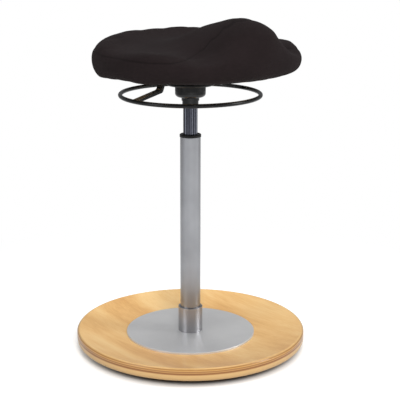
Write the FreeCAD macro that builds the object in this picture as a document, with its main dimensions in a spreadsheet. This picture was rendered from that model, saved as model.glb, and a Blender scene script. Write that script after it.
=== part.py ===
"""Wobble stool: a saddle seat on a height-adjustable column, on a dished plywood rocker.

Millimetres, +Z up, origin on the floor under the column. The raised pommel of the seat
points to -Y and the two arms of the release ring lie along X.
"""

import FreeCAD, Part
import math
import os

import Sketcher
from FreeCAD import Placement, Rotation, Vector

doc = FreeCAD.newDocument("WobbleStool")
sheet = doc.addObject("Spreadsheet::Sheet", "Sizes")


class Size(float):
    """A number that remembers the formula on the sheet that gives it."""

    def __new__(cls, value, formula):
        made = float.__new__(cls, value)
        made.formula = formula
        return made

    def __add__(self, other):
        return Size(float(self) + float(other), f"({formula(self)} + {formula(other)})")

    def __radd__(self, other):
        return Size(float(other) + float(self), f"({formula(other)} + {formula(self)})")

    def __sub__(self, other):
        return Size(float(self) - float(other), f"({formula(self)} - {formula(other)})")

    def __rsub__(self, other):
        return Size(float(other) - float(self), f"({formula(other)} - {formula(self)})")

    def __mul__(self, other):
        return Size(float(self) * float(other), f"({formula(self)} * {formula(other)})")

    def __rmul__(self, other):
        return Size(float(other) * float(self), f"({formula(other)} * {formula(self)})")

    def __truediv__(self, other):
        return Size(float(self) / float(other), f"({formula(self)} / {formula(other)})")

    def __neg__(self):
        return Size(-float(self), f"(0 - {formula(self)})")


def formula(number):
    """The formula of a Size, or the plain number."""
    return number.formula if isinstance(number, Size) else repr(float(number))


def size(word, value):
    """Writes one driving dimension on the sheet and returns it as a Size."""
    size.row += 1
    sheet.set(f"A{size.row}", word)
    sheet.set(f"B{size.row}", str(value))
    sheet.setAlias(f"B{size.row}", word)
    return Size(value, f"Sizes.{word}")


size.row = 0

# Fits and small breaks
running_fit = size("running_fit", 0.05)
seat_fit = size("seat_fit", 0.02)
bearing_gap = size("bearing_gap", 0.2)
edge_break = size("edge_break", 1.0)
loose_fit = size("loose_fit", 0.2)

# Rocker base of moulded plywood
base_radius = size("base_radius", 227)
rim_height = size("rim_height", 36)
rim_round = size("rim_round", 5)
skirt_height = size("skirt_height", 10.5)
skirt_round = size("skirt_round", 8)
dish_radius = size("dish_radius", 600)
dish_drop = size("dish_drop", 12.7)
belly_flat = size("belly_flat", 4)
floor_gap = size("floor_gap", 2)
sole_inner = size("sole_inner", 62)
sole_outer = size("sole_outer", 96)
sole_thickness = size("sole_thickness", 4)

# Steel foot plate, its sleeve and its screws
plate_radius = size("plate_radius", 128)
plate_thickness = size("plate_thickness", 4)
plate_margin = size("plate_margin", 1)
sleeve_radius = size("sleeve_radius", 24)
sleeve_height = size("sleeve_height", 51)
base_screw_circle = size("base_screw_circle", 105)
base_screw_radius = size("base_screw_radius", 3)
base_screw_count = 6
base_nut_radius = size("base_nut_radius", 6)
base_nut_height = size("base_nut_height", 9)
base_head_radius = size("base_head_radius", 5.5)
base_head_height = size("base_head_height", 3.3)
base_head_depth = size("base_head_depth", 6)

# Column tube and the guide bush in its mouth
tube_radius = size("tube_radius", 20)
tube_wall = size("tube_wall", 1.8)
tube_length = size("tube_length", 396)
collar_radius = size("collar_radius", 21)
collar_height = size("collar_height", 5)
bush_length = size("bush_length", 85)

# Thrust bearing at the foot of the tube
plug_rise = size("plug_rise", 6)
plug_height = size("plug_height", 8)
washer_radius = size("washer_radius", 13)
washer_thickness = size("washer_thickness", 1.5)
ball_radius = size("ball_radius", 2)
ball_circle = size("ball_circle", 9.5)
ball_count = 8
cage_height = size("cage_height", 2.4)
buffer_radius = size("buffer_radius", 12)
buffer_height = size("buffer_height", 11)

# Gas spring
rod_radius = size("rod_radius", 5)
rod_tip_radius = size("rod_tip_radius", 4)
rod_foot = size("rod_foot", 2)
rod_groove = size("rod_groove", 1)
rod_top_height = size("rod_top_height", 352)
clip_radius = size("clip_radius", 8)
clip_thickness = size("clip_thickness", 1.2)
piston_height = size("piston_height", 12)
cylinder_radius = size("cylinder_radius", 14)
cylinder_wall = size("cylinder_wall", 2)
cylinder_foot_height = size("cylinder_foot_height", 115)
cone_stand = size("cone_stand", 2)
cylinder_cap = size("cylinder_cap", 26)
cone_top_radius = size("cone_top_radius", 13)
guide_length = size("guide_length", 20)
button_radius = size("button_radius", 4)
button_stand = size("button_stand", 6)
button_length = size("button_length", 18)

# Housing that takes the cone of the gas spring
flange_radius = size("flange_radius", 47.5)
flange_thickness = size("flange_thickness", 5)
flange_top_height = size("flange_top_height", 530)
drum_radius = size("drum_radius", 29.7)
drum_height = size("drum_height", 11.5)
cap_height = size("cap_height", 12)
cap_round = size("cap_round", 7)
neck_radius = size("neck_radius", 17.2)
neck_height = size("neck_height", 7)
throat_radius = size("throat_radius", 15.7)
throat_height = size("throat_height", 10.5)
post_circle = size("post_circle", 38)
post_radius = size("post_radius", 6)
post_height = size("post_height", 19)

# Carrier plate and seat pan
carrier_width = size("carrier_width", 150)
carrier_thickness = size("carrier_thickness", 3)
carrier_corner = size("carrier_corner", 14)
pan_screw_spacing = size("pan_screw_spacing", 120)
pan_screw_radius = size("pan_screw_radius", 3)
pan_head_radius = size("pan_head_radius", 5.5)
pan_head_height = size("pan_head_height", 3.3)
post_screw_radius = size("post_screw_radius", 2.5)
post_screw_length = size("post_screw_length", 14)
post_head_radius = size("post_head_radius", 4.8)
pan_thickness = size("pan_thickness", 12)
pan_edge = size("pan_edge", 3)

# Saddle cushion on the pan; the rises are counted from the underside of the cover
seat_radius = size("seat_radius", 200.5)
seat_offset = size("seat_offset", 18.5)
cover_thickness = size("cover_thickness", 2)
cover_hem = size("cover_hem", 24)
waist_rise = size("waist_rise", 29.4)
rear_tuck = size("rear_tuck", 35.6)
front_tuck = size("front_tuck", 46.7)
rear_turn = size("rear_turn", 22.6)
front_turn = size("front_turn", 32.5)
flank_rise = size("flank_rise", 53.1)
cantle_rise = size("cantle_rise", 57.9)
crown_rise = size("crown_rise", 63.6)
pommel_rise = size("pommel_rise", 112.8)
pommel_setback = size("pommel_setback", 35.3)
pommel_lean = size("pommel_lean", 26.1)
pommel_drop = size("pommel_drop", 9.6)
pommel_foot = size("pommel_foot", 106)

# Release ring, its strap and the lever pivot
ring_radius = size("ring_radius", 135.3)
ring_wire = size("ring_wire", 8)
ring_drop = size("ring_drop", 24)
strap_width = size("strap_width", 16)
strap_thickness = size("strap_thickness", 5)
strap_gap = size("strap_gap", 0.2)
elbow_radius = size("elbow_radius", 76)
elbow_drop = size("elbow_drop", 20.7)
shoulder_radius = size("shoulder_radius", 68)
bend_radius = size("bend_radius", 6)
pivot_offset = size("pivot_offset", 30)
pivot_drop = size("pivot_drop", 3.2)
pin_radius = size("pin_radius", 2)
lug_length = size("lug_length", 10)
ear_thickness = size("ear_thickness", 3)
ear_gap = size("ear_gap", 0.6)
bracket_base = size("bracket_base", 1.5)

# Sizes that follow from those above
rim_radius = base_radius - rim_round
skirt_radius = base_radius - skirt_round
belly_start = sole_outer + belly_flat
belly_width = skirt_radius - belly_start
belly_depth = skirt_height - floor_gap
# the underside's arc leaves the flat round the sole without a step
belly_radius = (belly_width * belly_width / belly_depth + belly_depth) / 2
wood_seat = rim_height - dish_drop
plate_top = wood_seat + plate_thickness
tube_top = plate_top + tube_length
bush_top = tube_top + collar_height
plug_bottom = plate_top + plug_rise
plug_top = plug_bottom + plug_height
lower_washer_top = plug_top + washer_thickness
upper_washer_bottom = lower_washer_top + ball_radius * 2 + bearing_gap * 2
upper_washer_top = upper_washer_bottom + washer_thickness
tube_bore = tube_radius - tube_wall
cylinder_top_height = flange_top_height + cone_stand
flange_bottom = flange_top_height - flange_thickness
drum_bottom = flange_bottom - drum_height
cone_length = cylinder_top_height - drum_bottom
cap_bottom = drum_bottom - cap_height
neck_bottom = cap_bottom - neck_height
throat_bottom = neck_bottom - throat_height
button_top = cylinder_top_height + button_stand
strap_bottom = button_top + strap_gap
strap_middle = strap_bottom + strap_thickness / 2
elbow_height = strap_middle - elbow_drop
ring_height = flange_top_height - ring_drop
pivot_height = strap_bottom - pivot_drop
carrier_bottom = flange_top_height + post_height
pan_bottom = carrier_bottom + carrier_thickness
pan_top = pan_bottom + pan_thickness
pan_radius = seat_radius - rear_tuck
cover_bottom = pan_bottom - cover_thickness

parts = []


def keep(piece, label):
    """Names a finished sub-part; the label is also its file's name."""
    piece.Label = label
    parts.append(piece)
    return piece


def new_body(label):
    body = doc.addObject("PartDesign::Body", label)
    return keep(body, label)


def plane_of(body, role):
    return next(f for f in body.Origin.OriginFeatures if f.Role == role)


def new_sketch(body, role, lift=None):
    """A sketch on one of the body's own origin planes, lifted along the plane's normal."""
    sketch = body.newObject("Sketcher::SketchObject", f"{body.Name}_outline")
    sketch.AttachmentSupport = [(plane_of(body, role), "")]
    sketch.MapMode = "FlatFace"
    if lift is not None:
        sketch.setExpression("AttachmentOffset.Base.z", formula(lift))
    return sketch


def pin_point(sketch, geo, pos, u, v):
    """Fixes a sketch point at (u, v) from the sheet, on an axis where that is zero."""
    for kind, axis, distance in (("DistanceX", -2, u), ("DistanceY", -1, v)):
        if abs(float(distance)) < 1e-9:
            sketch.addConstraint(Sketcher.Constraint("PointOnObject", geo, pos, axis))
            continue
        index = sketch.addConstraint(
            Sketcher.Constraint(kind, -1, 1, geo, pos, float(distance))
        )
        if isinstance(distance, Size):
            sketch.setExpression(f"Constraints[{index}]", distance.formula)


def arc_middle(start, end, radius):
    """The middle of the short arc of that radius; a negative radius bends it to the right."""
    chord = end - start
    half = chord.Length / 2
    sag = abs(radius) - math.sqrt(max(radius * radius - half * half, 0.0))
    side = Vector(-chord.y, chord.x, 0).normalize()
    return (start + end) / 2 + side * math.copysign(sag, radius)


def outline(sketch, corners):
    """A closed outline. Each corner is (u, v), or (u, v, radius) where an arc leaves it."""
    points = [Vector(float(c[0]), float(c[1]), 0) for c in corners]
    sides = []
    for i, corner in enumerate(corners):
        start, end = points[i], points[(i + 1) % len(points)]
        if len(corner) == 3:
            radius = float(corner[2])
            middle = arc_middle(start, end, radius)
            geo = sketch.addGeometry(Part.Arc(start, middle, end))
        else:
            geo = sketch.addGeometry(Part.LineSegment(start, end))
        first = (sketch.getPoint(geo, 1) - start).Length < 1e-6
        sides.append((geo, 1 if first else 2, 2 if first else 1))
    for i, corner in enumerate(corners):
        geo, begin, finish = sides[i]
        after, after_begin, _ = sides[(i + 1) % len(sides)]
        sketch.addConstraint(
            Sketcher.Constraint("Coincident", geo, finish, after, after_begin)
        )
        pin_point(sketch, geo, begin, corner[0], corner[1])
        if len(corner) == 3:
            bend = corner[2] if float(corner[2]) > 0 else -corner[2]
            index = sketch.addConstraint(
                Sketcher.Constraint("Radius", geo, float(bend))
            )
            if isinstance(bend, Size):
                sketch.setExpression(f"Constraints[{index}]", bend.formula)
    return sketch


def circles(sketch, holes):
    """Circles in a sketch, each (u, v, radius)."""
    for u, v, radius in holes:
        centre = Vector(float(u), float(v), 0)
        geo = sketch.addGeometry(Part.Circle(centre, Vector(0, 0, 1), float(radius)))
        if abs(float(u)) < 1e-9 and abs(float(v)) < 1e-9:
            sketch.addConstraint(Sketcher.Constraint("Coincident", geo, 3, -1, 1))
        else:
            pin_point(sketch, geo, 3, u, v)
        index = sketch.addConstraint(Sketcher.Constraint("Radius", geo, float(radius)))
        sketch.setExpression(f"Constraints[{index}]", formula(radius))
    return sketch


def turn(body, corners):
    """A piece turned about the column's axis from its half profile (radius, height)."""
    sketch = outline(new_sketch(body, "XZ_Plane"), corners)
    solid = body.newObject("PartDesign::Revolution", f"{body.Name}_turned")
    solid.Profile = sketch
    solid.ReferenceAxis = (sketch, ["V_Axis"])
    solid.Angle = 360
    sketch.Visibility = False
    return solid


def turned(label, corners):
    body = new_body(label)
    turn(body, corners)
    return body


def washer(label, inner, outer, bottom, top):
    """A plain turned ring."""
    return turned(
        label, [(inner, bottom), (outer, bottom), (outer, top), (inner, top)]
    )


def pad(body, sketch, length, middle=False):
    solid = body.newObject("PartDesign::Pad", f"{body.Name}_pad")
    solid.Profile = sketch
    solid.setExpression("Length", formula(length))
    solid.Midplane = middle
    return solid


def bore_up(body, holes, start, depth, copies=1):
    """Cuts round holes upwards from a height, and repeats the cut round the axis."""
    sketch = circles(new_sketch(body, "XY_Plane", start), holes)
    cut = body.newObject("PartDesign::Pocket", f"{body.Name}_bore")
    cut.Profile = sketch
    cut.setExpression("Length", formula(depth))
    cut.Reversed = True
    if copies == 1:
        return cut
    return repeat(body, cut, copies)


def ring_of(label, corners, circle, copies, start_angle=0.0):
    """One turned piece at a distance from the column's axis, repeated round it."""
    body = new_body(label)
    body.AllowCompound = True
    sketch = new_sketch(body, "XZ_Plane")
    outline(sketch, [(c[0] + circle, *c[1:]) for c in corners])
    foot, top = Vector(circle, 0, 0), Vector(circle, 1, 0)
    axis = sketch.addGeometry(Part.LineSegment(foot, top), True)
    pin_point(sketch, axis, 1, circle, 0.0)
    pin_point(sketch, axis, 2, circle, 1.0)
    solid = body.newObject("PartDesign::Revolution", f"{label}_turned")
    solid.Profile = sketch
    solid.ReferenceAxis = (sketch, ["Axis0"])
    solid.Angle = 360
    doc.recompute()
    repeat(body, solid, copies)
    body.Placement = Placement(Vector(), Rotation(Vector(0, 0, 1), start_angle))
    return body


def repeat(body, feature, copies):
    """Repeats the last feature of a body round the column's axis."""
    ring = body.newObject("PartDesign::PolarPattern", f"{feature.Name}_ring")
    ring.Originals = [feature]
    ring.Axis = (plane_of(body, "Z_Axis"), [""])
    ring.Angle = 360
    ring.Occurrences = copies
    body.Tip = ring
    return ring


def make_rocker_base():
    """Dished plywood disc: flat under the plate, rising to a rounded rim, bellied below."""
    body = turned(
        "rocker_base",
        [
            (0.0, sole_thickness),
            (sole_outer, sole_thickness),
            (sole_outer, floor_gap),
            (belly_start, floor_gap, -belly_radius),
            (skirt_radius, skirt_height, -skirt_round),
            (base_radius, skirt_height + skirt_round),
            (base_radius, rim_height - rim_round, -rim_round),
            (rim_radius, rim_height, dish_radius),
            (plate_radius + plate_margin, wood_seat),
            (0.0, wood_seat),
        ],
    )
    doc.recompute()
    bore_up(
        body,
        [(base_screw_circle, 0.0, base_head_radius + edge_break)],
        0.0,
        base_head_depth,
        base_screw_count,
    )
    bore_up(
        body,
        [(base_screw_circle, 0.0, base_screw_radius + loose_fit)],
        0.0,
        wood_seat,
        base_screw_count,
    )
    bore_up(
        body,
        [(base_screw_circle, 0.0, base_nut_radius + seat_fit)],
        wood_seat - base_nut_height,
        base_nut_height,
        base_screw_count,
    )


def make_base_fastening():
    """Weld nuts under the plate, and the screws that come up into them from below."""
    nut_bottom = wood_seat - base_nut_height
    ring_of(
        "base_nuts",
        [
            (base_screw_radius + seat_fit, nut_bottom),
            (base_nut_radius, nut_bottom),
            (base_nut_radius, wood_seat),
            (base_screw_radius + seat_fit, wood_seat),
        ],
        base_screw_circle,
        base_screw_count,
    )
    ring_of(
        "base_screws",
        [
            (0.0, base_head_depth - base_head_height),
            (base_head_radius, base_head_depth - base_head_height),
            (base_head_radius, base_head_depth),
            (base_screw_radius, base_head_depth),
            (base_screw_radius, wood_seat - edge_break / 2),
            (0.0, wood_seat - edge_break / 2),
        ],
        base_screw_circle,
        base_screw_count,
    )


def make_base():
    make_rocker_base()
    turned(
        "sole_ring",
        [
            (sole_inner, 0.0),
            (sole_outer - edge_break, 0.0),
            (sole_outer, edge_break),
            (sole_outer, sole_thickness),
            (sole_inner, sole_thickness),
        ],
    )
    turned(
        "foot_plate",
        [
            (0.0, wood_seat),
            (plate_radius, wood_seat),
            (plate_radius, plate_top - edge_break),
            (plate_radius - edge_break, plate_top),
            (0.0, plate_top),
        ],
    )
    make_base_fastening()
    turned(
        "socket_sleeve",
        [
            (tube_radius + seat_fit, plate_top),
            (sleeve_radius, plate_top),
            (sleeve_radius, plate_top + sleeve_height - edge_break),
            (sleeve_radius - edge_break, plate_top + sleeve_height),
            (tube_radius + seat_fit, plate_top + sleeve_height),
        ],
    )
    washer("column_tube", tube_bore, tube_radius, plate_top, tube_top)
    turned(
        "guide_bush",
        [
            (cylinder_radius + running_fit, tube_top - bush_length),
            (tube_bore - seat_fit, tube_top - bush_length),
            (tube_bore - seat_fit, tube_top),
            (collar_radius, tube_top),
            (collar_radius, bush_top - edge_break),
            (collar_radius - edge_break, bush_top),
            (cylinder_radius + running_fit, bush_top),
        ],
    )
    washer(
        "end_plug",
        rod_radius + running_fit,
        tube_bore - seat_fit,
        plug_bottom,
        plug_top,
    )
    washer(
        "lower_race",
        rod_radius + running_fit,
        washer_radius,
        plug_top,
        lower_washer_top,
    )
    make_ball_cage()


def make_ball_cage():
    """A ring of balls and the flat cage that spaces them."""
    middle = lower_washer_top + bearing_gap + ball_radius
    body = washer(
        "ball_cage",
        rod_radius + bearing_gap,
        washer_radius - edge_break / 2,
        middle - cage_height / 2,
        middle + cage_height / 2,
    )
    doc.recompute()
    bore_up(
        body,
        [(ball_circle, 0.0, ball_radius + running_fit)],
        middle - cage_height,
        cage_height * 2,
        ball_count,
    )
    ring_of(
        "bearing_balls",
        [
            (0.0, middle - ball_radius, -ball_radius),
            (ball_radius, middle, -ball_radius),
            (0.0, middle + ball_radius),
        ],
        ball_circle,
        ball_count,
    )


def make_rod():
    """The piston rod stands in the foot bearing; the seat slides and turns about it."""
    rod_bottom = plate_top + rod_foot
    groove = plug_bottom - clip_thickness - bearing_gap
    shoulder = rod_top_height - piston_height - edge_break * 2
    turned(
        "piston_rod",
        [
            (0.0, rod_bottom),
            (rod_radius, rod_bottom),
            (rod_radius, groove),
            (rod_radius - rod_groove, groove),
            (rod_radius - rod_groove, groove + clip_thickness),
            (rod_radius, groove + clip_thickness),
            (rod_radius, shoulder),
            (rod_tip_radius, shoulder),
            (rod_tip_radius, rod_top_height),
            (0.0, rod_top_height),
        ],
    )
    washer(
        "rod_clip",
        rod_radius - rod_groove,
        clip_radius,
        groove,
        groove + clip_thickness,
    )
    washer(
        "upper_race", rod_radius, washer_radius, upper_washer_bottom, upper_washer_top
    )
    turned(
        "stop_buffer",
        [
            (rod_radius, upper_washer_top),
            (buffer_radius, upper_washer_top),
            (buffer_radius, upper_washer_top + buffer_height - edge_break * 2),
            (buffer_radius - edge_break * 2, upper_washer_top + buffer_height),
            (rod_radius, upper_washer_top + buffer_height),
        ],
    )
    bore = cylinder_radius - cylinder_wall
    washer(
        "piston",
        rod_tip_radius,
        bore - running_fit,
        shoulder,
        shoulder + piston_height,
    )


def make_gas_spring():
    """Cylinder with its valve cone, open below, and the rod guide in its foot."""
    bore = cylinder_radius - cylinder_wall
    turned(
        "gas_cylinder",
        [
            (bore, cylinder_foot_height),
            (cylinder_radius, cylinder_foot_height),
            (cylinder_radius, drum_bottom),
            (cone_top_radius, cylinder_top_height),
            (button_radius + running_fit, cylinder_top_height),
            (button_radius + running_fit, cylinder_top_height - cylinder_cap),
            (bore, cylinder_top_height - cylinder_cap),
        ],
    )
    washer(
        "rod_guide",
        rod_radius + running_fit,
        bore,
        cylinder_foot_height,
        cylinder_foot_height + guide_length,
    )
    turned(
        "valve_button",
        [
            (0.0, button_top - button_length),
            (button_radius, button_top - button_length),
            (button_radius, button_top - edge_break / 2),
            (button_radius - edge_break / 2, button_top),
            (0.0, button_top),
        ],
    )


def make_housing():
    """Die-cast flange and drum with the cone's seat, on four posts under the carrier."""
    slope = (cylinder_radius - cone_top_radius) / cone_length
    top_bore = cone_top_radius + slope * (cylinder_top_height - flange_top_height)
    body = turned(
        "taper_housing",
        [
            (cylinder_radius, drum_bottom),
            (drum_radius, drum_bottom),
            (drum_radius, flange_bottom),
            (flange_radius - edge_break * 2, flange_bottom),
            (flange_radius, flange_bottom + edge_break * 2),
            (flange_radius, flange_top_height - edge_break),
            (flange_radius - edge_break, flange_top_height),
            (top_bore, flange_top_height),
        ],
    )
    doc.recompute()
    reach = post_circle * math.sqrt(0.5)
    posts = [(sx * reach, sy * reach, post_radius) for sx in (-1, 1) for sy in (-1, 1)]
    pad(
        body, circles(new_sketch(body, "XY_Plane", flange_top_height), posts), post_height
    )
    doc.recompute()
    holes = [(u, v, post_screw_radius + seat_fit) for u, v, _ in posts]
    bore_up(
        body,
        holes,
        carrier_bottom - post_screw_length,
        post_screw_length + edge_break,
    )
    turned(
        "housing_cap",
        [
            (cylinder_radius + running_fit, throat_bottom),
            (throat_radius, throat_bottom),
            (throat_radius, neck_bottom),
            (neck_radius, neck_bottom),
            (neck_radius, cap_bottom),
            (drum_radius - cap_round, cap_bottom, -cap_round),
            (drum_radius, cap_bottom + cap_round),
            (drum_radius, drum_bottom),
            (cylinder_radius + running_fit, drum_bottom),
        ],
    )


def square_plate(body, width, corner, bottom, thickness):
    """A square sheet-metal plate with rounded corners."""
    half = width / 2
    inner = half - corner
    corners = [
        (-inner, -half),
        (inner, -half, -corner),
        (half, -inner),
        (half, inner, -corner),
        (inner, half),
        (-inner, half, -corner),
        (-half, inner),
        (-half, -inner, -corner),
    ]
    return pad(
        body, outline(new_sketch(body, "XY_Plane", bottom), corners), thickness
    )


def make_carrier():
    """Plate between the housing's posts and the seat pan, with both sets of screws."""
    body = new_body("carrier_plate")
    square_plate(body, carrier_width, carrier_corner, carrier_bottom, carrier_thickness)
    doc.recompute()
    half = pan_screw_spacing / 2
    corners = [(sx * half, sy * half) for sx in (-1, 1) for sy in (-1, 1)]
    holes = [(u, v, pan_screw_radius + loose_fit) for u, v in corners]
    bore_up(body, holes, carrier_bottom, carrier_thickness)
    doc.recompute()
    reach = post_circle * math.sqrt(0.5)
    holes = [
        (sx * reach, sy * reach, post_head_radius + loose_fit)
        for sx in (-1, 1)
        for sy in (-1, 1)
    ]
    bore_up(body, holes, carrier_bottom, carrier_thickness)
    head_foot = carrier_bottom + seat_fit
    ring_of(
        "post_screws",
        [
            (0.0, carrier_bottom - post_screw_length + edge_break),
            (post_screw_radius, carrier_bottom - post_screw_length + edge_break),
            (post_screw_radius, head_foot),
            (post_head_radius, head_foot),
            (post_head_radius, pan_bottom - seat_fit),
            (0.0, pan_bottom - seat_fit),
        ],
        post_circle,
        4,
        45.0,
    )
    diagonal = pan_screw_spacing * math.sqrt(0.5)
    ring_of(
        "pan_screws",
        [
            (0.0, carrier_bottom - pan_head_height),
            (pan_head_radius, carrier_bottom - pan_head_height),
            (pan_head_radius, carrier_bottom),
            (pan_screw_radius, carrier_bottom),
            (pan_screw_radius, pan_top - edge_break),
            (0.0, pan_top - edge_break),
        ],
        diagonal,
        4,
        45.0,
    )
    ring_of(
        "pan_nuts",
        [
            (pan_screw_radius + seat_fit, pan_bottom + edge_break),
            (pan_screw_radius + edge_break, pan_bottom + edge_break),
            (pan_screw_radius + edge_break, pan_top),
            (pan_screw_radius + seat_fit, pan_top),
        ],
        diagonal,
        4,
        45.0,
    )


def make_pan():
    """Plywood seat pan that the foam is glued to."""
    body = turned(
        "seat_pan",
        [
            (0.0, pan_bottom),
            (pan_radius - pan_edge, pan_bottom),
            (pan_radius, pan_bottom + pan_edge),
            (pan_radius, pan_top - pan_edge),
            (pan_radius - pan_edge, pan_top),
            (0.0, pan_top),
        ],
    )
    doc.recompute()
    half = pan_screw_spacing / 2
    holes = [
        (sx * half, sy * half + seat_offset, pan_screw_radius + edge_break + seat_fit)
        for sx in (-1, 1)
        for sy in (-1, 1)
    ]
    bore_up(body, holes, pan_bottom, pan_thickness)
    body.setExpression("Placement.Base.y", formula(-seat_offset))


# How far round the side each of the cushion's sections stands, in degrees
SECTION_ANGLES = (0, 12, 24, 36, 47, 57, 66, 74, 80, 84, 87)
# Shares of the seat's width or length
CROWN_FALL = 1.5
CANTLE_SPREAD = 1.6
CLIMB_SHARE = 0.71
FLANK_TURN = 0.85
NOSE_SHARE = 1.6
CROWN_SHARE = 0.6
SADDLE_SHARE = 0.37


def smooth(t):
    """0 to 1 with level ends."""
    t = min(max(t, 0.0), 1.0)
    return t * t * (3 - 2 * t)


def mix(a, b, share):
    return a + (b - a) * share


def saddle_corners(across, inset):
    """Corners (y, z) of the cushion's section at a distance across the seat.

    The first side is the flat underside; inset moves every side inwards.
    """
    radius = seat_radius - inset
    reach = math.sqrt(radius**2 - across**2)
    rear, front = reach - seat_offset, -reach - seat_offset
    share = abs(across) / radius
    waist = cover_bottom + waist_rise
    foot = cover_bottom + inset
    flank = cover_bottom + flank_rise - inset
    # across the seat the crown and the cantle fall to the flanks, the pommel in an S
    dome = 1 - min(share * CROWN_FALL, 1.0) ** 2
    bell = smooth(1 - abs(across) / pommel_foot)
    crown = flank + (crown_rise - flank_rise) * dome
    cantle = flank + (cantle_rise - flank_rise) * smooth((1 - share) * CANTLE_SPREAD)
    peak = flank + (pommel_rise - flank_rise) * bell
    climb = mix(crown, peak, CLIMB_SHARE)
    # the flank's own side is rounded like the sides at front and rear
    closing = math.sqrt(1 - max((share - FLANK_TURN) / (1 - FLANK_TURN), 0.0) ** 2)
    # and its tucks and turns draw in with it
    fold = 1 - (1 - reach / radius) ** 2

    def level(z):
        return waist + (z - waist) * closing

    lean = mix(front_turn, pommel_lean, bell) * fold
    setback = mix(front_turn * NOSE_SHARE, pommel_lean + pommel_setback, bell) * fold
    drop = mix(edge_break, pommel_drop, bell)
    return [
        Vector(across, front + front_tuck * fold, level(foot)),
        Vector(across, rear - rear_tuck * fold, level(foot)),
        Vector(across, rear, waist),
        Vector(across, rear - rear_turn * fold, level(cantle)),
        Vector(across, mix(front, rear, CROWN_SHARE), level(crown)),
        Vector(across, mix(front, rear, SADDLE_SHARE), level(climb)),
        Vector(across, front + setback, level(peak)),
        Vector(across, front + lean, level(peak - drop)),
        Vector(across, front, waist),
    ]


def headings(corners):
    """The direction in which the section passes through each of its corners."""
    level, up, down = Vector(0, 1, 0), Vector(0, 0, 1), Vector(0, 0, -1)
    found = [level, level, up]
    for before, corner, after in zip(corners[2:], corners[3:], corners[4:]):
        arriving, leaving = corner - before, after - corner
        heading = arriving * (leaving.Length / arriving.Length)
        heading = heading + leaving * (arriving.Length / leaving.Length)
        found.append(heading.normalize())
    return found + [down]


def bend(start, end, heading):
    """The arc that leaves start in that heading and ends at end."""
    chord = end - start
    along = Vector(chord).normalize()
    turn_angle = math.atan2(along.y * heading.z - along.z * heading.y, along.dot(heading))
    side = Vector(0, -along.z, along.y)
    rise = chord.Length / 2 * math.tan(turn_angle / 2)
    if abs(rise) < 1e-4:
        return Part.LineSegment(start, end).toShape()
    return Part.Arc(start, (start + end) / 2 + side * rise, end).toShape()


def two_bends(start, end, leaving, arriving):
    """Two tangent arcs from one corner to the next, with those headings at the ends."""
    chord = end - start
    both = leaving + arriving
    spread = 2 * (1 - leaving.dot(arriving))
    if spread < 1e-6:
        reach = chord.dot(chord) / (4 * chord.dot(leaving))
    else:
        across = chord.dot(both)
        root = math.sqrt(across**2 + spread * chord.dot(chord))
        reach = (root - across) / spread
    joint = (start + end + (leaving - arriving) * reach) / 2
    heading = end - arriving * reach - start - leaving * reach
    return [bend(start, joint, leaving), bend(joint, end, heading.normalize())]


def section_wire(across, inset):
    """The section at that distance across the seat, as one closed wire."""
    corners = saddle_corners(across, inset)
    ways = headings(corners)
    edges = [Part.LineSegment(corners[0], corners[1]).toShape()]
    for i in range(1, len(corners)):
        after = (i + 1) % len(corners)
        edges += two_bends(corners[i], corners[after], ways[i], ways[after])
    return Part.Wire(edges)


def saddle(inset):
    """The cushion's body, lofted from one flank over the seat to the other."""
    radius = seat_radius - inset
    turns = [-a for a in reversed(SECTION_ANGLES[1:])] + list(SECTION_ANGLES)
    places = [radius * math.sin(math.radians(a)) for a in turns]
    return Part.makeLoft([section_wire(x, inset) for x in places], True, False)


def make_cushion():
    """Foam on the pan, and the cover stretched over it and hemmed under the pan's edge."""
    centre = Vector(0, -seat_offset, pan_bottom)
    pan_space = Part.makeCylinder(pan_radius, pan_thickness, centre)
    below = Vector(0, -seat_offset, cover_bottom - pan_thickness)
    hem_radius = pan_radius - cover_hem
    opening = Part.makeCylinder(hem_radius, pan_thickness * 2, below)
    under_pan = Part.makeCylinder(pan_radius, pan_thickness * 2, below)
    inner = saddle(cover_thickness)
    foam = inner.cut(under_pan.fuse(pan_space))
    cover = saddle(0.0).cut(inner.fuse(pan_space)).cut(opening)
    for label, shape in (("seat_foam", foam), ("seat_cover", cover)):
        feature = doc.addObject("Part::Feature", label)
        feature.Shape = shape
        keep(feature, label)


# Directions of the mitres at the strap's bends, per half thickness of the bar
ELBOW_ACROSS = 0.74
ELBOW_UP = 0.85
SHOULDER_ACROSS = 0.69


def round_bends(strap):
    """Rounds the strap's four bends, inside and outside."""
    bar = strap.Tip
    edges = []
    for i, edge in enumerate(bar.Shape.Edges):
        middle = edge.CenterOfMass
        level = edge.BoundBox.XLength + edge.BoundBox.ZLength < strap_thickness / 2
        if level and abs(middle.x) < (elbow_radius + ring_radius) / 2:
            edges.append(f"Edge{i + 1}")
    fillet = strap.newObject("PartDesign::Fillet", "ring_strap_bends")
    fillet.Base = (bar, edges)
    fillet.setExpression("Radius", formula(bend_radius))
    doc.recompute()


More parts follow.
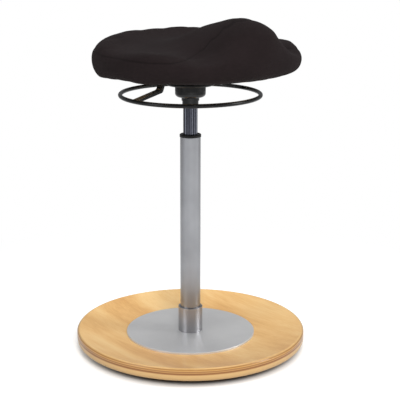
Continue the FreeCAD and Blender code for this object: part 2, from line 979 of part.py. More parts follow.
def make_ring_lever():
    """Ring and bent strap: lifting one side presses the valve button down."""
    ring = new_body("release_ring")
    sketch = circles(
        new_sketch(ring, "XZ_Plane"), [(ring_radius, ring_height, ring_wire / 2)]
    )
    solid = ring.newObject("PartDesign::Revolution", "release_ring_turned")
    solid.Profile = sketch
    solid.ReferenceAxis = (sketch, ["V_Axis"])
    solid.Angle = 360

    strap = new_body("ring_strap")
    half = strap_thickness / 2
    top = strap_middle + half
    outer_elbow = (elbow_radius + half * ELBOW_ACROSS, elbow_height + half * ELBOW_UP)
    inner_elbow = (elbow_radius - half * ELBOW_ACROSS, elbow_height - half * ELBOW_UP)
    outer_shoulder = (shoulder_radius + half * SHOULDER_ACROSS, top)
    inner_shoulder = (shoulder_radius - half * SHOULDER_ACROSS, strap_bottom)
    right_side = [
        inner_shoulder,
        inner_elbow,
        (ring_radius, ring_height - half),
        (ring_radius, ring_height + half),
        outer_elbow,
        outer_shoulder,
    ]
    left_side = [(-u, v) for u, v in reversed(right_side)]
    pad(
        strap,
        outline(new_sketch(strap, "XZ_Plane"), right_side + left_side),
        strap_width,
        True,
    )
    doc.recompute()
    round_bends(strap)
    doc.recompute()
    notch_sketch = circles(
        new_sketch(strap, "XZ_Plane"), [(ring_radius, ring_height, ring_wire / 2)]
    )
    notch = strap.newObject("PartDesign::Groove", "ring_strap_notch")
    notch.Profile = notch_sketch
    notch.ReferenceAxis = (notch_sketch, ["V_Axis"])
    notch.Angle = 360

    lug = new_body("pivot_lug")
    low = pivot_height - pin_radius - edge_break
    half_lug = lug_length / 2
    corners = [
        (-pivot_offset - half_lug, strap_bottom),
        (-pivot_offset - half_lug, pivot_height),
        (-pivot_offset - half_lug + edge_break * 2, low),
        (-pivot_offset + half_lug - edge_break * 2, low),
        (-pivot_offset + half_lug, pivot_height),
        (-pivot_offset + half_lug, strap_bottom),
    ]
    sketch = outline(new_sketch(lug, "XZ_Plane"), corners)
    circles(sketch, [(-pivot_offset, pivot_height, pin_radius + running_fit)])
    pad(lug, sketch, strap_width, True)


def make_pivot():
    """Two ears on the flange and the pin that the strap's lug turns on."""
    inner = strap_width / 2 + ear_gap
    outer = inner + ear_thickness
    body = new_body("lever_bracket")
    half = lug_length / 2
    ear_top = pivot_height + pin_radius + edge_break * 2
    corners = [
        (-pivot_offset - half, flange_top_height),
        (-pivot_offset + half, flange_top_height),
        (-pivot_offset + half, ear_top),
        (-pivot_offset - half, ear_top),
    ]
    sketch = outline(new_sketch(body, "XZ_Plane"), corners)
    circles(sketch, [(-pivot_offset, pivot_height, pin_radius + seat_fit)])
    pad(body, sketch, outer * 2, True)
    doc.recompute()
    slot = outline(
        new_sketch(body, "XZ_Plane"),
        [
            (-pivot_offset - half - edge_break, flange_top_height + bracket_base),
            (-pivot_offset + half + edge_break, flange_top_height + bracket_base),
            (-pivot_offset + half + edge_break, ear_top + edge_break),
            (-pivot_offset - half - edge_break, ear_top + edge_break),
        ],
    )
    cut = body.newObject("PartDesign::Pocket", "lever_bracket_slot")
    cut.Profile = slot
    cut.setExpression("Length", formula(inner * 2))
    cut.Midplane = True

    pin = doc.addObject("Part::Cylinder", "lever_pin")
    pin.setExpression("Radius", formula(pin_radius))
    pin.setExpression("Height", formula(outer * 2))
    pin.Placement = Placement(
        Vector(-pivot_offset, outer, pivot_height), Rotation(Vector(1, 0, 0), 90)
    )
    pin.setExpression("Placement.Base.x", formula(-pivot_offset))
    pin.setExpression("Placement.Base.y", formula(outer))
    pin.setExpression("Placement.Base.z", formula(pivot_height))
    keep(pin, "lever_pin")


def check():
    """Stops with a list of what failed, before anything is written."""
    faults = []
    for thing in doc.Objects:
        if "Invalid" in thing.State or "Error" in thing.State:
            faults.append(f"{thing.Label}: {thing.State}")
    for piece in parts:
        shape = piece.Shape
        if shape.isNull() or not shape.isValid() or not shape.Solids:
            faults.append(f"{piece.Label}: no valid solid")
    if faults:
        raise RuntimeError("; ".join(faults))


def write():
    os.makedirs("parts", exist_ok=True)
    for piece in parts:
        piece.Shape.exportStep(f"parts/{piece.Label}.step")
        box = piece.Shape.BoundBox
        print(
            f"{piece.Label}: {len(piece.Shape.Solids)} solids,",
            f"{piece.Shape.Volume:.0f} mm3, z {box.ZMin:.1f} to {box.ZMax:.1f}",
        )


doc.recompute()
make_base()
make_rod()
make_gas_spring()
make_housing()
make_carrier()
make_pan()
make_cushion()
make_ring_lever()
make_pivot()
doc.recompute()
check()
write()
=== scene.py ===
"""Wobble stool: finishes, the fabric cushion, light and camera over the solid model."""

import math

import bmesh
import bpy
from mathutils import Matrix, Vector
from mathutils.bvhtree import BVHTree


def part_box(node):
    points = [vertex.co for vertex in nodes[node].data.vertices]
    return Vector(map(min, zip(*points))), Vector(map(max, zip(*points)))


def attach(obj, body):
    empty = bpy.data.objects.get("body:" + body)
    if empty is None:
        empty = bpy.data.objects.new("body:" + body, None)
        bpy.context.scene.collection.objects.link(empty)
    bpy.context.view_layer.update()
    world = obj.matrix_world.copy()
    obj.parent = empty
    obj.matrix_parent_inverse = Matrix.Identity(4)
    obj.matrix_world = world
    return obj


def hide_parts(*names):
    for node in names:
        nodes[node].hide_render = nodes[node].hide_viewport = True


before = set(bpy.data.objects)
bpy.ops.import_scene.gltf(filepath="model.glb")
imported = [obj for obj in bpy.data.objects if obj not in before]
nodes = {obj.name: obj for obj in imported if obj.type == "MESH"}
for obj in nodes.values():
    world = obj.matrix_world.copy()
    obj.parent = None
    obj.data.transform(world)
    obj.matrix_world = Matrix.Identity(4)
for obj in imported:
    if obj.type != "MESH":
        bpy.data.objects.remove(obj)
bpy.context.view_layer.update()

scene = bpy.context.scene
scene.view_settings.view_transform = "Standard"


# ---------------------------------------------------------------- camera

PICTURE_AZIMUTH = math.radians(-40)
PICTURE_DISTANCE = 2.169
PICTURE_HEIGHT = 0.858
PICTURE_DIP = math.radians(12.52)


def stand_camera():
    """The camera at the photograph's place, front left and a little above the seat."""
    data = bpy.data.cameras.new("camera")
    data.sensor_width = 36.0
    data.lens = 102.5
    data.shift_x = 0.024
    data.shift_y = -0.10
    camera = bpy.data.objects.new("camera", data)
    camera.location = (
        math.sin(PICTURE_AZIMUTH) * PICTURE_DISTANCE,
        -math.cos(PICTURE_AZIMUTH) * PICTURE_DISTANCE,
        PICTURE_HEIGHT,
    )
    camera.rotation_euler = (math.pi / 2 - PICTURE_DIP, 0.0, PICTURE_AZIMUTH)
    scene.collection.objects.link(camera)
    scene.camera = camera


# ---------------------------------------------------------------- shader words


class Value:
    """A number or colour that comes out of a node; sums with it add Math nodes."""

    def __init__(self, finish, socket):
        self.finish = finish
        self.socket = socket

    def _sum(self, operation, *terms):
        return self.finish.node("ShaderNodeMath", {"operation": operation}, *terms)

    def __add__(self, other):
        return self._sum("ADD", self, other)

    def __radd__(self, other):
        return self._sum("ADD", other, self)

    def __sub__(self, other):
        return self._sum("SUBTRACT", self, other)

    def __rsub__(self, other):
        return self._sum("SUBTRACT", other, self)

    def __mul__(self, other):
        return self._sum("MULTIPLY", self, other)

    def __rmul__(self, other):
        return self._sum("MULTIPLY", other, self)

    def __truediv__(self, other):
        return self._sum("DIVIDE", self, other)

    def __rtruediv__(self, other):
        return self._sum("DIVIDE", other, self)

    def __pow__(self, other):
        return self._sum("POWER", self, other)

    def __rpow__(self, other):
        return self._sum("POWER", other, self)

    def __abs__(self):
        return self._sum("ABSOLUTE", self)


class Finish:
    """One material and the nodes in it."""

    def __init__(self, name, **surface):
        self.material = bpy.data.materials.new(name)
        self.material.use_nodes = True
        self.tree = self.material.node_tree
        self.tree.nodes.clear()
        self.out = self.tree.nodes.new("ShaderNodeOutputMaterial")
        self.shader = self.tree.nodes.new("ShaderNodeBsdfPrincipled")
        self.tree.links.new(self.shader.outputs["BSDF"], self.out.inputs["Surface"])
        for word, setting in surface.items():
            self.set(word.replace("_", " ").title().replace("Ior", "IOR"), setting)

    def set(self, socket, setting):
        """Gives one property of the surface its number, colour or pattern."""
        self.put(self.shader.inputs[socket], setting)

    def put(self, socket, setting):
        """A number or colour is set; a value from a node is linked."""
        if isinstance(setting, Value):
            self.tree.links.new(setting.socket, socket)
        elif isinstance(setting, tuple) and socket.type == "RGBA":
            socket.default_value = (*setting, 1.0)
        else:
            socket.default_value = setting

    def node(self, kind, settings=None, *terms, out=0, **named):
        """One node: settings first, then the values or links of its sockets."""
        made = self.tree.nodes.new(kind)
        for word, setting in (settings or {}).items():
            if word == "stops":
                ramp = made.color_ramp
                while len(ramp.elements) < len(setting):
                    ramp.elements.new(0.5)
                for element, (place, colour) in zip(ramp.elements, setting):
                    element.position = place
                    element.color = (*colour, 1.0)
            else:
                setattr(made, word, setting)
        for socket, setting in zip(made.inputs, terms):
            self.put(socket, setting)
        for word, setting in named.items():
            self.put(made.inputs[word.replace("_", " ")], setting)
        return Value(self, made.outputs[out])

    def place(self, scale=(1.0, 1.0, 1.0), turn=0.0):
        """The place on the piece, turned about the upright axis and stretched."""
        here = self.node("ShaderNodeTexCoord", out="Object")
        return self.node(
            "ShaderNodeMapping", {"vector_type": "POINT"},
            Vector=here, Scale=scale, Rotation=(0.0, 0.0, turn),
        )

    def parts(self, vector):
        """The three coordinates of a place."""
        split = self.node("ShaderNodeSeparateXYZ", None, vector).socket.node
        return [Value(self, split.outputs[word]) for word in "XYZ"]

    def noise(self, vector, scale, detail=3.0, roughness=0.5):
        """An even, cloudy pattern between 0 and 1."""
        return self.node(
            "ShaderNodeTexNoise", None,
            Vector=vector, Scale=scale, Detail=detail, Roughness=roughness,
        )

    def ramp(self, value, stops):
        """Colours by the size of a value between 0 and 1."""
        return self.node("ShaderNodeValToRGB", {"stops": stops}, value)

    def mask(self, value, low, high):
        """0 below low, 1 above high."""
        return self.node(
            "ShaderNodeMapRange", {"interpolation_type": "SMOOTHSTEP"}, value, low, high
        )

    def blend(self, share, first, second):
        """The first colour where the share is 0, the second where it is 1."""
        made = self.tree.nodes.new("ShaderNodeMix")
        made.data_type = "RGBA"
        self.put(made.inputs["Factor"], share)
        self.put(made.inputs[6], first)
        self.put(made.inputs[7], second)
        return Value(self, made.outputs[2])

    def bump(self, height, depth, strength=1.0, under=None):
        """Relief of that depth in metres, over another relief where there is one."""
        named = {"Height": height, "Distance": depth, "Strength": strength}
        if under is not None:
            named["Normal"] = under
        return self.node("ShaderNodeBump", None, **named)


def wear(obj, finish):
    """Gives a piece one finish all over."""
    obj.data.materials.clear()
    obj.data.materials.append(finish.material)


# ---------------------------------------------------------------- finishes


# which way the veneer's grain and the plate's brushing run
GRAIN_TURN = math.radians(52)
BRUSH_TURN = math.radians(-50)

# the base's rim: where the veneer ends, and the height in mm over which the layers show
RIM_INNER = 0.2215
RIM_OUTER = 0.2235
LAYERS_FOOT = 8.0
LAYERS_HEIGHT = 30.0

# the seat cloth's threads, in radians per metre
THREAD_RATE = 4200.0


def lacquered_ply():
    """Honey-coloured veneer above and below, and the layers of the ply round the edge."""
    f = Finish("lacquered_ply", roughness=0.3, coat_weight=0.3, coat_roughness=0.1)
    broad = f.noise(f.place((7.0, 1.1, 7.0), GRAIN_TURN), 3.0, 4.0, 0.55)
    fine = f.noise(f.place((90.0, 4.0, 90.0), GRAIN_TURN), 6.0, 3.0)
    cloud = f.noise(f.place(), 5.0, 2.0)
    flame = (broad - 0.5) * 1.5 + (cloud - 0.5) * 0.8 + (fine - 0.5) * 0.5 + 0.5
    veneer = f.ramp(
        flame,
        [
            (0.20, (0.66, 0.340, 0.105)),
            (0.50, (0.80, 0.475, 0.175)),
            (0.80, (0.88, 0.590, 0.260)),
        ],
    )
    x, y, z = f.parts(f.place())
    reach = (x * x + y * y) ** 0.5
    wobble = f.noise(f.place(scale=(6.0, 6.0, 30.0)), 2.0, 2.0)
    level = z * 1000.0 + (wobble - 0.5) * 1.2
    layers = f.ramp(
        (level - LAYERS_FOOT) / LAYERS_HEIGHT,
        [
            (0.00, (0.38, 0.22, 0.08)),
            (0.18, (0.50, 0.31, 0.125)),
            (0.50, (0.58, 0.36, 0.145)),
            (0.56, (0.30, 0.125, 0.028)),
            (0.63, (0.20, 0.075, 0.015)),
            (0.67, (0.50, 0.26, 0.080)),
            (0.74, (0.26, 0.105, 0.022)),
            (0.80, (0.56, 0.31, 0.100)),
            (0.86, (0.30, 0.130, 0.030)),
            (0.93, (0.70, 0.45, 0.185)),
        ],
    )
    side = f.mask(reach, RIM_INNER, RIM_OUTER)
    f.set("Base Color", f.blend(side, veneer, layers))
    f.set("Roughness", 0.26 + broad * 0.12)
    f.set("Normal", f.bump(fine, 0.00012, 0.35))
    return f


def brushed_plate():
    """Satin steel brushed one way, with a faint cloudiness."""
    f = Finish("satin_plate", base_color=(0.56, 0.56, 0.56), metallic=0.7, roughness=0.3)
    cloud = f.noise(f.place(), 9.0, 3.0)
    hair = f.noise(f.place((3.0, 900.0, 3.0), BRUSH_TURN), 1.0, 2.0)
    tints = [(0.3, (0.70, 0.70, 0.705)), (0.7, (0.80, 0.80, 0.80))]
    f.set("Base Color", f.ramp(cloud, tints))
    f.set("Roughness", 0.36 + hair * 0.12 + cloud * 0.06)
    f.set("Normal", f.bump(hair, 0.00004, 0.4))
    return f


def satin_metal(name, tint, roughness, along_z=True):
    """Metal drawn along the column's axis, or else turned about it."""
    f = Finish(name, base_color=tint, metallic=1.0, roughness=roughness)
    stretch = (260.0, 260.0, 6.0) if along_z else (6.0, 6.0, 1500.0)
    hair = f.noise(f.place(scale=stretch), 1.0, 3.0)
    cloud = f.noise(f.place(), 14.0, 2.0)
    f.set("Roughness", (roughness - 0.05) + hair * 0.1)
    pale = tuple(min(c * 1.12, 1.0) for c in tint)
    dark = tuple(c * 0.88 for c in tint)
    f.set("Base Color", f.ramp(cloud, [(0.3, dark), (0.7, pale)]))
    f.set("Normal", f.bump(hair, 0.00003, 0.35))
    return f


def drawn_spring():
    """The gas spring's polished tube, with bright and dark reflections painted along its
    length as streaks.
    """
    f = Finish("spring_steel", metallic=1.0, roughness=0.2)
    # painted reflections: streaks from near black to bright blue-white run along the tube,
    # in place of what it mirrors
    painted_reflection_streaks = f.noise(f.place(scale=(420.0, 420.0, 0.6)), 1.0, 2.0)
    tints = [
        (0.42, (0.020, 0.021, 0.028)),
        (0.54, (0.11, 0.115, 0.145)),
        (0.66, (0.55, 0.58, 0.68)),
    ]
    f.set("Base Color", f.ramp(painted_reflection_streaks, tints))
    f.set("Roughness", 0.12 + painted_reflection_streaks * 0.2)
    return f


def powder_coat(name, tint, roughness, grain=0.00005, coat=0.0):
    """Black coating with a fine orange-peel surface."""
    f = Finish(
        name, base_color=tint, roughness=roughness, coat_weight=coat, coat_roughness=0.1,
        specular_ior_level=0.3,
    )
    peel = f.noise(f.place(), 900.0, 2.0)
    dust = f.noise(f.place(), 40.0, 3.0)
    f.set("Roughness", (roughness - 0.04) + dust * 0.08)
    pale = tuple(c * 1.35 + 0.001 for c in tint)
    f.set("Base Color", f.ramp(dust, [(0.35, tint), (0.75, pale)]))
    f.set("Normal", f.bump(peel, grain, 0.5))
    return f


def moulded_rubber():
    """Dull black rubber with a fine speck."""
    f = Finish("moulded_rubber", base_color=(0.03, 0.03, 0.03), roughness=0.7)
    speck = f.noise(f.place(), 700.0, 2.0)
    f.set("Roughness", 0.62 + speck * 0.15)
    f.set("Normal", f.bump(speck, 0.00008, 0.5))
    return f


def raw_ply():
    """Bare plywood, for the seat pan."""
    f = Finish("raw_ply", roughness=0.6)
    grain = f.noise(f.place(scale=(60.0, 3.0, 60.0)), 4.0, 4.0)
    tints = [(0.3, (0.50, 0.36, 0.20)), (0.7, (0.66, 0.50, 0.30))]
    f.set("Base Color", f.ramp(grain, tints))
    f.set("Normal", f.bump(grain, 0.0002, 0.4))
    return f


def seat_cloth():
    """Warm black woven fabric with crossed threads, and painted shade darkening it along
    the seam's crease.
    """
    f = Finish(
        "seat_cloth", base_color=(0.02, 0.016, 0.016), roughness=0.9,
        sheen_weight=0.01, sheen_roughness=0.5, sheen_tint=(0.9, 0.8, 0.8),
        specular_ior_level=0.07,
    )
    here = f.place()
    x, y, z = f.parts(here)
    slub = f.noise(f.place(scale=(1.0, 1.0, 4.0)), 120.0, 3.0)
    cloud = f.noise(here, 16.0, 3.0)
    warp = f.node("ShaderNodeMath", {"operation": "SINE"}, (x + y) * THREAD_RATE)
    weft = f.node("ShaderNodeMath", {"operation": "SINE"}, (x - y + z) * THREAD_RATE)
    seam = f.node("ShaderNodeAttribute", {"attribute_name": "seam"}, out="Fac")
    # painted shade: the cloth is darkened along the seam's crease, where shade falls
    near = 1.0 - f.mask(abs(seam), 0.0004, 0.0026)
    cloth = f.ramp(
        cloud * 0.6 + slub * 0.4,
        [(0.25, (0.0105, 0.0074, 0.0076)), (0.75, (0.0165, 0.0118, 0.0122))],
    )
    f.set("Base Color", f.blend(near * 0.6, cloth, (0.006, 0.0045, 0.0045)))
    f.set("Roughness", 0.82 + slub * 0.15)
    thread = f.bump(warp * weft, 0.0002, 0.35)
    f.set("Normal", f.bump(cloud + slub * 0.3, 0.0005, 0.3, thread))
    return f


# ---------------------------------------------------------------- the cushion

# the seat's round plan, and the spacing of the points that the cushion starts from
SEAT_MIDDLE_Y = -0.0185
SEAT_RADIUS = 0.2045
VOXEL = 0.005

# the space for the pan is filled with a disc a little thicker and lower than the pan
FILLER_EXTRA = 0.004
FILLER_DROP = 0.001

# points within this reach of the cover are set on it, and the whole then grows by a factor
COVER_REACH = 0.004
PADDING_GROWTH = 1.010

# the padding presses no point of the cover farther out than this, in so many moments
SWELL = 0.0018
SWELL_MOMENTS = 20

# the lower edge, where the cover turns in under the padding
EDGE_TOP = 0.582
EDGE_HEIGHT = 0.032
EDGE_ROUND = 0.014
EDGE_SOFTNESS = 0.004

# how far each part of the cushion lies above or below the solid cover
FRONT_LIFT = 0.0035
SIDE_RISE = 0.0013
POMMEL_DIP = 0.0115
POMMEL_SINK = 0.0018
RIM_RISE = 0.003
CROWN_SINK = 0.002

# between these heights the side passes into the top
TOP_FROM = 0.590
TOP_TO = 0.612

# the pressed seam's half width and depth, and the hem below the pan
SEAM_WIDTH = 0.0035
SEAM_DEPTH = 0.0009
HEM_WIDTH = 0.024
HEM_THICKNESS = 0.003
OPENING_DEPTH = 0.03

# height of the seam between the top and the side, by angle from the front in degrees
SEAM_HEIGHTS = (
    (0, 0.6625), (8, 0.6590), (17, 0.6480), (28, 0.6280), (36, 0.6100), (44, 0.5985),
    (54, 0.5930), (67, 0.5920), (82, 0.5940), (98, 0.5945), (118, 0.5970), (140, 0.6030),
    (160, 0.6060), (180, 0.6065),
)


def seam_height(angle):
    """The seam's height at that angle from the front, the same left and right."""
    angle = abs(angle)
    for (a, low), (b, high) in zip(SEAM_HEIGHTS, SEAM_HEIGHTS[1:]):
        if angle <= b:
            share = (angle - a) / (b - a)
            share = share * share * (3 - 2 * share) * 0.4 + share * 0.6
            return low + (high - low) * share
    return SEAM_HEIGHTS[-1][1]


def put_points(mesh, places):
    """Moves every point of a mesh to its new place."""
    mesh.vertices.foreach_set("co", [c for place in places for c in place])
    mesh.update()


def disc_mesh(label, radius, height, middle_height, sides):
    """A plain round disc on the seat's axis."""
    disc = bmesh.new()
    bmesh.ops.create_cone(
        disc, cap_ends=True, segments=sides, radius1=radius, radius2=radius, depth=height,
    )
    for v in disc.verts:
        v.co += Vector((0, SEAT_MIDDLE_Y, middle_height))
    mesh = bpy.data.meshes.new(label)
    disc.to_mesh(mesh)
    disc.free()
    return mesh


def copy_of(names, label):
    """One closed mesh from copies of solid nodes, for a soft piece to start from."""
    whole = bmesh.new()
    for name in names:
        whole.from_mesh(nodes[name].data)
    bmesh.ops.remove_doubles(whole, verts=whole.verts, dist=1e-6)
    mesh = bpy.data.meshes.new(label)
    whole.to_mesh(mesh)
    whole.free()
    obj = bpy.data.objects.new(label, mesh)
    scene.collection.objects.link(obj)
    return obj


def bake_modifiers(obj):
    """Turns the piece's modifiers into its own mesh."""
    graph = bpy.context.evaluated_depsgraph_get()
    mesh = bpy.data.meshes.new_from_object(obj.evaluated_get(graph), depsgraph=graph)
    obj.modifiers.clear()
    obj.data = mesh


def pan_filler():
    """A disc that fills the pan's space, so that the cushion starts as one closed form."""
    low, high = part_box("seat_pan")
    radius = (high.x - low.x) / 2
    height = high.z - low.z + FILLER_EXTRA
    middle = (high.z + low.z) / 2 - FILLER_DROP
    return disc_mesh("pan_filler", radius, height, middle, sides=96)


def fit_to_cover(obj):
    """Sets every point that lies near the solid cover's outer surface onto it."""
    cover = nodes["seat_cover"].data
    corners = [v.co for v in cover.vertices]
    sides = [tuple(side.vertices) for side in cover.polygons]
    outer = BVHTree.FromPolygons(corners, sides)
    places = []
    for vertex in obj.data.vertices:
        outside = vertex.co + vertex.normal * COVER_REACH
        nearest, side_facing, _, distance = outer.find_nearest(outside)
        good = distance < COVER_REACH * 1.5 and side_facing.dot(vertex.normal) > 0.3
        places.append(nearest if good else vertex.co.copy())
    put_points(obj.data, places)


def step(low, high, value):
    """0 below low and 1 above high, level at both ends."""
    share = min(max((value - low) / (high - low), 0.0), 1.0)
    return share * share * (3 - 2 * share)


def lobe(value, middle, width):
    """1 at the middle, falling softly to 0."""
    return math.exp(-(((value - middle) / width) ** 2))


def settled(place):
    """Where a point of the padding lies once the cover is drawn over it."""
    x = place.x * PADDING_GROWTH
    y = (place.y - SEAT_MIDDLE_Y) * PADDING_GROWTH
    z = place.z
    reach = math.hypot(x, y)
    if reach < 0.001:
        return place
    angle = math.degrees(math.atan2(abs(x), -y))
    # the lower edge turns in round the pan
    if z < EDGE_TOP + 0.01:
        drop = min(max((EDGE_TOP - z) / EDGE_HEIGHT, 0.0), 1.0)
        limit = SEAT_RADIUS - EDGE_ROUND * (1 - math.sqrt(1 - 0.98 * drop * drop))
        beyond = min((reach - limit) / EDGE_SOFTNESS, 30.0)
        excess = EDGE_SOFTNESS * math.log1p(math.exp(beyond))
        x -= x / reach * excess
        y -= y / reach * excess
    # the hem at the front lifts
    lower_front = step(0.12, 0.18, reach) * (1 - step(0.55, 0.60, z)) * step(0.0, 0.12, -y)
    z += FRONT_LIFT * lower_front
    # at the rim the sides rise, and the dips beside the pommel deepen
    rim = step(0.09, 0.17, reach) * step(0.575, 0.615, z)
    z += rim * SIDE_RISE * (lobe(angle, 90, 20) + lobe(angle, 125, 25))
    z -= rim * POMMEL_DIP * lobe(angle, 40, 12)
    # on the top the rim rises, and the back and the pommel sink
    upper = step(TOP_FROM, TOP_TO, place.z)
    z += RIM_RISE * upper * step(0.150, 0.190, reach) * step(25, 50, angle)
    z -= CROWN_SINK * upper * (1 - step(0.10, 0.16, reach)) * step(-0.02, 0.03, y)
    z -= POMMEL_SINK * step(0.635, 0.655, place.z)
    return Vector((x, y + SEAT_MIDDLE_Y, z))


def settle(obj):
    """Moves the whole cushion to where it lies under its drawn cover."""
    put_points(obj.data, [settled(v.co) for v in obj.data.vertices])


def level_back(obj):
    """Smooths the broad back of the seat; the pommel and the sides keep their form."""
    group = obj.vertex_groups.new(name="back")
    for vertex in obj.data.vertices:
        share = step(TOP_FROM, TOP_TO, vertex.co.z) * step(-0.09, -0.02, vertex.co.y)
        if share > 0:
            group.add([vertex.index], share, "REPLACE")
    level = obj.modifiers.new("level", "SMOOTH")
    level.vertex_group = "back"
    level.factor = 0.5
    level.iterations = 40
    bake_modifiers(obj)
    obj.vertex_groups.clear()


def ease(obj, times):
    """Smooths the small facets away without drawing the whole form in."""
    for way in (0.5, -0.52) * times:
        ease_pass = obj.modifiers.new("ease", "SMOOTH")
        ease_pass.factor = way
        ease_pass.iterations = 2
    bake_modifiers(obj)


def swell(obj):
    """Lets the padding press the cover out a little, each point near where it began."""
    before = [v.co.copy() for v in obj.data.vertices]
    cloth = obj.modifiers.new("cloth", "CLOTH")
    cloth.settings.use_pressure = True
    cloth.settings.uniform_pressure_force = 4.0
    cloth.settings.effector_weights.gravity = 0.0
    cloth.settings.tension_stiffness = 25.0
    cloth.settings.compression_stiffness = 25.0
    cloth.settings.bending_stiffness = 4.0
    cloth.point_cache.frame_start = 1
    cloth.point_cache.frame_end = SWELL_MOMENTS
    for moment in range(1, SWELL_MOMENTS + 1):
        scene.frame_set(moment)
    bake_modifiers(obj)
    scene.frame_set(1)
    held = []
    for vertex, start in zip(obj.data.vertices, before):
        move = vertex.co - start
        if move.length > SWELL:
            move *= SWELL / move.length
        held.append(start + move)
    put_points(obj.data, held)


def press_seam(obj):
    """Draws the cover in along the seam and keeps each point's distance from it."""
    places = []
    distances = []
    for vertex in obj.data.vertices:
        place, facing = vertex.co, vertex.normal
        angle = math.degrees(math.atan2(place.x, SEAT_MIDDLE_Y - place.y))
        slope = max(Vector((facing.x, facing.y)).length, 0.45)
        distance = (place.z - seam_height(angle)) / slope
        distances.append(distance)
        places.append(place - facing * lobe(distance, 0.0, SEAM_WIDTH) * SEAM_DEPTH)
    mark = obj.data.attributes.new("seam", "FLOAT", "POINT")
    mark.data.foreach_set("value", distances)
    put_points(obj.data, places)


def hollow_for_pan(obj):
    """Opens the underside inside the cover's hem, so that the pan shows there."""
    low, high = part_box("seat_pan")
    radius = (high.x - low.x) / 2 - HEM_WIDTH
    middle = low.z + HEM_THICKNESS - OPENING_DEPTH / 2
    mesh = disc_mesh("punch", radius, OPENING_DEPTH, middle, sides=128)
    punch = bpy.data.objects.new("punch", mesh)
    scene.collection.objects.link(punch)
    cut = obj.modifiers.new("hem", "BOOLEAN")
    cut.operation = "DIFFERENCE"
    cut.solver = "EXACT"
    cut.object = punch
    bake_modifiers(obj)
    bpy.data.objects.remove(punch)


def make_cushion():
    """The padded seat: the saddle form, its cover swollen a little, and its seam."""
    cushion = copy_of(["seat_foam"], "saddle_cushion")
    joined = bmesh.new()
    joined.from_mesh(cushion.data)
    joined.from_mesh(pan_filler())
    joined.to_mesh(cushion.data)
    joined.free()
    remesh = cushion.modifiers.new("remesh", "REMESH")
    remesh.mode = "VOXEL"
    remesh.voxel_size = VOXEL
    remesh.use_smooth_shade = True
    smooth = cushion.modifiers.new("smooth", "SMOOTH")
    smooth.factor = 0.5
    smooth.iterations = 4
    bake_modifiers(cushion)
    fit_to_cover(cushion)
    settle(cushion)
    level_back(cushion)
    ease(cushion, 4)
    swell(cushion)
    fine = cushion.modifiers.new("fine", "SUBSURF")
    fine.levels = fine.render_levels = 1
    bake_modifiers(cushion)
    press_seam(cushion)
    hollow_for_pan(cushion)
    cushion.data.shade_smooth()
    wear(cushion, seat_cloth())
    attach(cushion, "seat")
    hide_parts("seat_cover", "seat_foam")


# ---------------------------------------------------------------- solid pieces


def dress_solids():
    """Every solid node gets its finish."""
    black = powder_coat("black_coat", (0.003, 0.003, 0.0032), 0.28)
    casting = powder_coat("black_casting", (0.005, 0.005, 0.0053), 0.40, 0.0001)
    gloss = powder_coat("gloss_black", (0.002, 0.002, 0.0022), 0.12, 0.00002, 0.3)
    matte = powder_coat("matte_black", (0.003, 0.003, 0.0034), 0.45)
    tube = satin_metal("column_steel", (0.36, 0.365, 0.385), 0.32)
    sleeve = satin_metal("sleeve_steel", (0.44, 0.44, 0.46), 0.36, along_z=False)
    spring = drawn_spring()
    bright = satin_metal("bright_steel", (0.62, 0.62, 0.63), 0.24)
    rubber = moulded_rubber()
    worn = {
        "rocker_base": lacquered_ply(),
        "sole_ring": rubber,
        "foot_plate": brushed_plate(),
        "socket_sleeve": sleeve,
        "column_tube": tube,
        "guide_bush": matte,
        "gas_cylinder": spring,
        "taper_housing": casting,
        "housing_cap": gloss,
        "carrier_plate": black,
        "seat_pan": raw_ply(),
        "lever_bracket": black,
        "release_ring": black,
        "ring_strap": black,
        "pivot_lug": black,
        "ball_cage": matte,
        "rod_guide": matte,
        "stop_buffer": rubber,
    }
    for name, obj in nodes.items():
        if name in ("seat_cover", "seat_foam"):
            continue
        wear(obj, worn.get(name, bright))


# ---------------------------------------------------------------- floor and light


FLOOR_SIZE = 14.0
FLOOR_DROP = 0.0002
FLOOR_GLOW = 0.34
FLOOR_TINT = (0.80, 0.80, 0.795)
# the colour of the shadow painted on the floor under the base
PAINTED_SHADOW_TINT = (0.10, 0.10, 0.105)

# distances from the column: the shadow painted on the floor under the base ends, the floor
# turns white
PAINTED_SHADOW_FROM, PAINTED_SHADOW_TO = 0.198, 0.234
WHITE_FROM, WHITE_TO = 0.32, 0.85


def lay_floor():
    """A pale floor with a shadow painted dark under the base; it keeps the cast shadow
    near the stool and turns white farther off.
    """
    bpy.ops.mesh.primitive_plane_add(size=FLOOR_SIZE, location=(0, 0, -FLOOR_DROP))
    floor = bpy.context.object
    floor.name = "floor"
    f = Finish("pale_floor", base_color=FLOOR_TINT, roughness=0.9)
    seen = f.node("ShaderNodeLightPath", out="Is Camera Ray")
    x, y, _ = f.parts(f.place())
    reach = (x * x + y * y) ** 0.5
    # painted shadow: the floor's colour turns dark under the base, and the camera's glow
    # is kept off there
    clear = f.mask(reach, PAINTED_SHADOW_FROM, PAINTED_SHADOW_TO)
    f.set("Base Color", f.blend(clear, PAINTED_SHADOW_TINT, FLOOR_TINT))
    far = f.mask(reach, WHITE_FROM, WHITE_TO)
    strength = seen * clear * FLOOR_GLOW
    lift = f.node("ShaderNodeEmission", None, Color=(1.0, 0.998, 0.99), Strength=strength)
    near = f.node("ShaderNodeAddShader", None, Value(f, f.shader.outputs[0]), lift)
    white = f.node("ShaderNodeEmission", None, Color=(1.0, 1.0, 1.0), Strength=1.0)
    both = f.node("ShaderNodeMixShader", None, seen * far, near, white)
    f.tree.links.new(both.socket, f.out.inputs["Surface"])
    wear(floor, f)


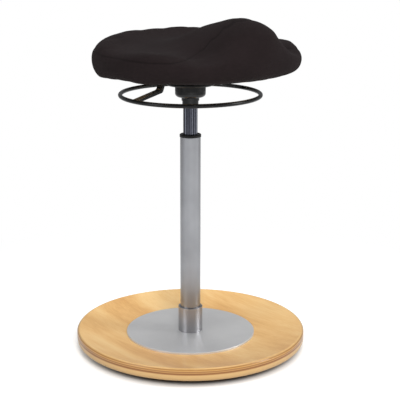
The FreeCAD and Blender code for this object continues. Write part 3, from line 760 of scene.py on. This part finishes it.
def light_world():
    """A white background, and a dim even light from all round."""
    world = bpy.data.worlds.new("studio")
    scene.world = world
    world.use_nodes = True
    tree = world.node_tree
    tree.nodes.clear()
    out = tree.nodes.new("ShaderNodeOutputWorld")
    path = tree.nodes.new("ShaderNodeLightPath")
    white = tree.nodes.new("ShaderNodeBackground")
    white.inputs["Color"].default_value = (1.0, 1.0, 1.0, 1.0)
    white.inputs["Strength"].default_value = 1.0
    fill = tree.nodes.new("ShaderNodeBackground")
    fill.inputs["Color"].default_value = (0.97, 0.98, 1.0, 1.0)
    fill.inputs["Strength"].default_value = 0.30
    mix = tree.nodes.new("ShaderNodeMixShader")
    tree.links.new(path.outputs["Is Camera Ray"], mix.inputs["Fac"])
    tree.links.new(fill.outputs[0], mix.inputs[1])
    tree.links.new(white.outputs[0], mix.inputs[2])
    tree.links.new(mix.outputs[0], out.inputs["Surface"])


def hang_lamp(name, place, aim, size, power, tint=(1.0, 1.0, 1.0), mirrored=True):
    """A soft box; one that is not mirrored leaves no glare on the pieces."""
    data = bpy.data.lights.new(name, "AREA")
    data.shape = "RECTANGLE"
    data.size, data.size_y = size
    data.energy = power
    data.color = tint
    lamp = bpy.data.objects.new(name, data)
    lamp.location = place
    lamp.visible_glossy = mirrored
    lamp.rotation_euler = (Vector(aim) - Vector(place)).to_track_quat("-Z", "Y").to_euler()
    scene.collection.objects.link(lamp)


def light_studio():
    """Soft boxes above, at both sides and behind the camera."""
    middle = (0.0, 0.0, 0.30)
    base = (0.0, 0.0, 0.03)
    cool = (0.95, 0.97, 1.0)
    hang_lamp("top_box", (0.3, 0.4, 2.6), middle, (2.4, 2.4), power=27.0)
    hang_lamp("left_box", (-2.3, 0.2, 1.3), middle, (0.9, 1.8), power=14.0, tint=cool)
    hang_lamp("right_box", (1.6, -1.9, 1.4), middle, (0.8, 1.6), power=26.0)
    hang_lamp("front_box", (-1.5, -2.4, 2.0), base, (1.3, 1.0), power=84.0, mirrored=False)


stand_camera()
dress_solids()
make_cushion()
lay_floor()
light_world()
light_studio()
